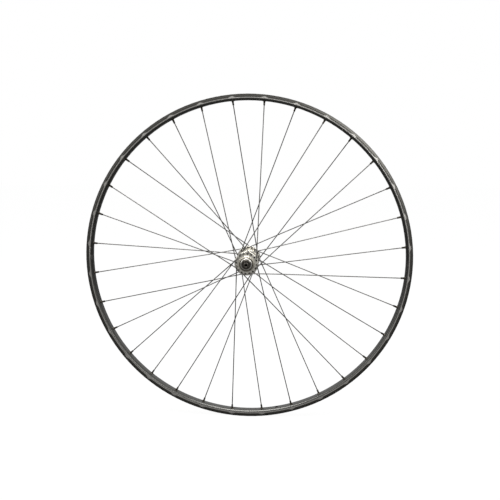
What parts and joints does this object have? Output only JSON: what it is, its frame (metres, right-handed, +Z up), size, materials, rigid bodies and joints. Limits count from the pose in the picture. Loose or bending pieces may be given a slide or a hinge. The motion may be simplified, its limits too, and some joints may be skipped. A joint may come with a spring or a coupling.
{
  "type": "bicycle front wheel",
  "caption": "Spoked bicycle front wheel: shallow hollow rim for a glued tyre, three-cross spokes and a low-flange hub turning on a hollow quick-release axle.",
  "frame": {"origin": "middle of the wheel, on the axle's centre line and in the rim's mid-plane", "axes": "+Y along the axle towards the rider's left-hand side, +Z up, +X forwards"},
  "size_m": [0.633, 0.108, 0.633],
  "materials": {
    "rim": "dark grey hard-anodised, satin",
    "eyelet": "plated",
    "nipple": "tarnished nickel plate on brass",
    "spoke": "drawn stainless, satin",
    "hub": "polished, slightly dulled",
    "dust_cap": "bright pressed steel",
    "bearing_steel": "ground and polished",
    "cone": "hardened steel, turned",
    "locknut": "blackened steel",
    "axle": "dark steel, threaded"
  },
  "bodies": {
    "axle_assembly": {"axle": "axle", "cone_right": "cone", "cone_left": "cone", "keyed_washer_right": "cone", "keyed_washer_left": "cone", "locknut_right": "locknut", "locknut_left": "locknut"},
    "wheel": {"rim": "rim", "spoke_eyelets": "eyelet", "nipples_right": "nipple", "nipples_left": "nipple", "spokes_right_leading": "spoke", "spokes_right_trailing": "spoke", "spokes_left_leading": "spoke", "spokes_left_trailing": "spoke", "hub_shell": "hub", "dust_cap_right": "dust_cap", "dust_cap_left": "dust_cap", "bearing_cup_right": "bearing_steel", "bearing_cup_left": "bearing_steel"},
    "balls_right": {"bearing_balls_right": "bearing_steel"},
    "balls_left": {"bearing_balls_left": "bearing_steel"}
  },
  "joints": [
    {"name": "wheel_spin", "type": "hinge", "parent": "axle_assembly", "child": "wheel", "pos_m": [0, 0, 0], "axis": [0, 1, 0], "continuous": true},
    {"name": "ball_orbit_right", "type": "hinge", "parent": "axle_assembly", "child": "balls_right", "pos_m": [0, -0.0375, 0], "axis": [0, 1, 0], "continuous": true},
    {"name": "ball_orbit_left", "type": "hinge", "parent": "axle_assembly", "child": "balls_left", "pos_m": [0, 0.0375, 0], "axis": [0, 1, 0], "continuous": true}
  ],
  "couplings": [
    {"joint": "ball_orbit_right", "follows": "wheel_spin", "ratio": 0.60353},
    {"joint": "ball_orbit_left", "follows": "wheel_spin", "ratio": 0.60353}
  ]
}
